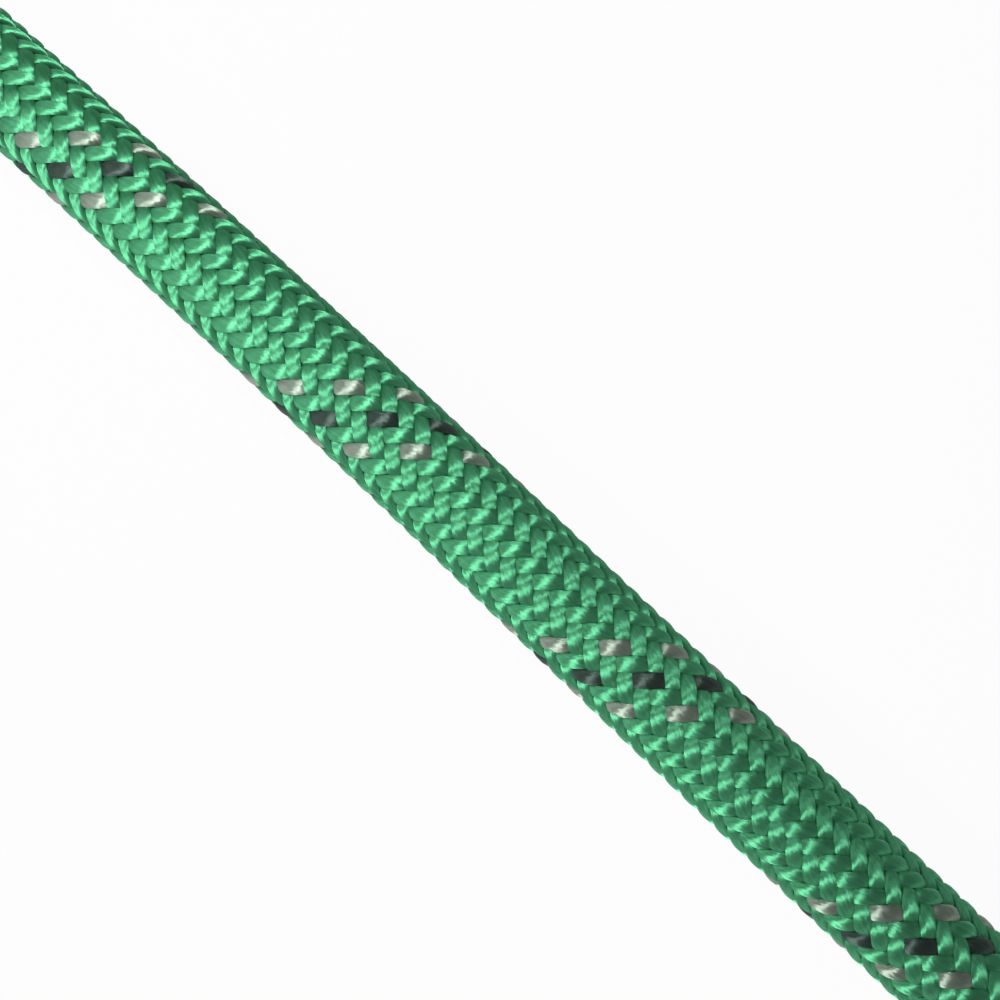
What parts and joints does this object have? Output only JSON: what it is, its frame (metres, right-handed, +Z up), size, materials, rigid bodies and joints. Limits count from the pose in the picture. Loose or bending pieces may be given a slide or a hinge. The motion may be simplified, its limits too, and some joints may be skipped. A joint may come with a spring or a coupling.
{
  "type": "dynamic climbing rope",
  "caption": "Kernmantle climbing rope with a braided sheath over parallel core strands, one end lying free and the rest wound in a tied coil.",
  "frame": {"origin": "on the floor, under the middle of the whole rope's box, the coil and its free end together", "axes": "+Z up; +Y from the free end in front towards the coil behind, the whole rope's longest side; +X to the right, seen from the free end's side"},
  "size_m": [0.318, 0.4669, 0.091],
  "materials": {
    "rope_turns": "woven green nylon sheath, satin, with grey and charcoal tracer yarns",
    "sheath_braid": "braided green nylon, satin, with grey and charcoal tracer yarns",
    "core_yarn": "undyed white nylon, satin",
    "marker_thread": "dyed nylon thread",
    "end_sleeve": "shrunk black polyolefin, satin",
    "fused_tip": "nylon melted and set, smooth",
    "tie_webbing": "woven black nylon hook-and-loop strap"
  },
  "bodies": {
    "root": {"coil": "rope_turns", "coil_tie_1": "tie_webbing", "coil_tie_2": "tie_webbing", "coil_tie_3": "tie_webbing", "coil_tie_4": "tie_webbing", "sheath": "sheath_braid", "core_strand_01": "core_yarn", "core_strand_02": "core_yarn", "core_strand_03": "core_yarn", "core_strand_04": "core_yarn", "core_strand_05": "core_yarn", "core_strand_06": "core_yarn", "core_strand_07": "core_yarn", "core_strand_08": "core_yarn", "core_strand_09": "core_yarn", "core_strand_10": "core_yarn", "core_strand_11": "core_yarn", "core_strand_12": "core_yarn", "marker_thread": "marker_thread", "free_end_tip": "fused_tip", "free_end_sleeve": "end_sleeve", "inner_end_rope": "rope_turns", "inner_end_sleeve": "end_sleeve", "inner_end_tip": "fused_tip"}
  },
  "joints": []
}
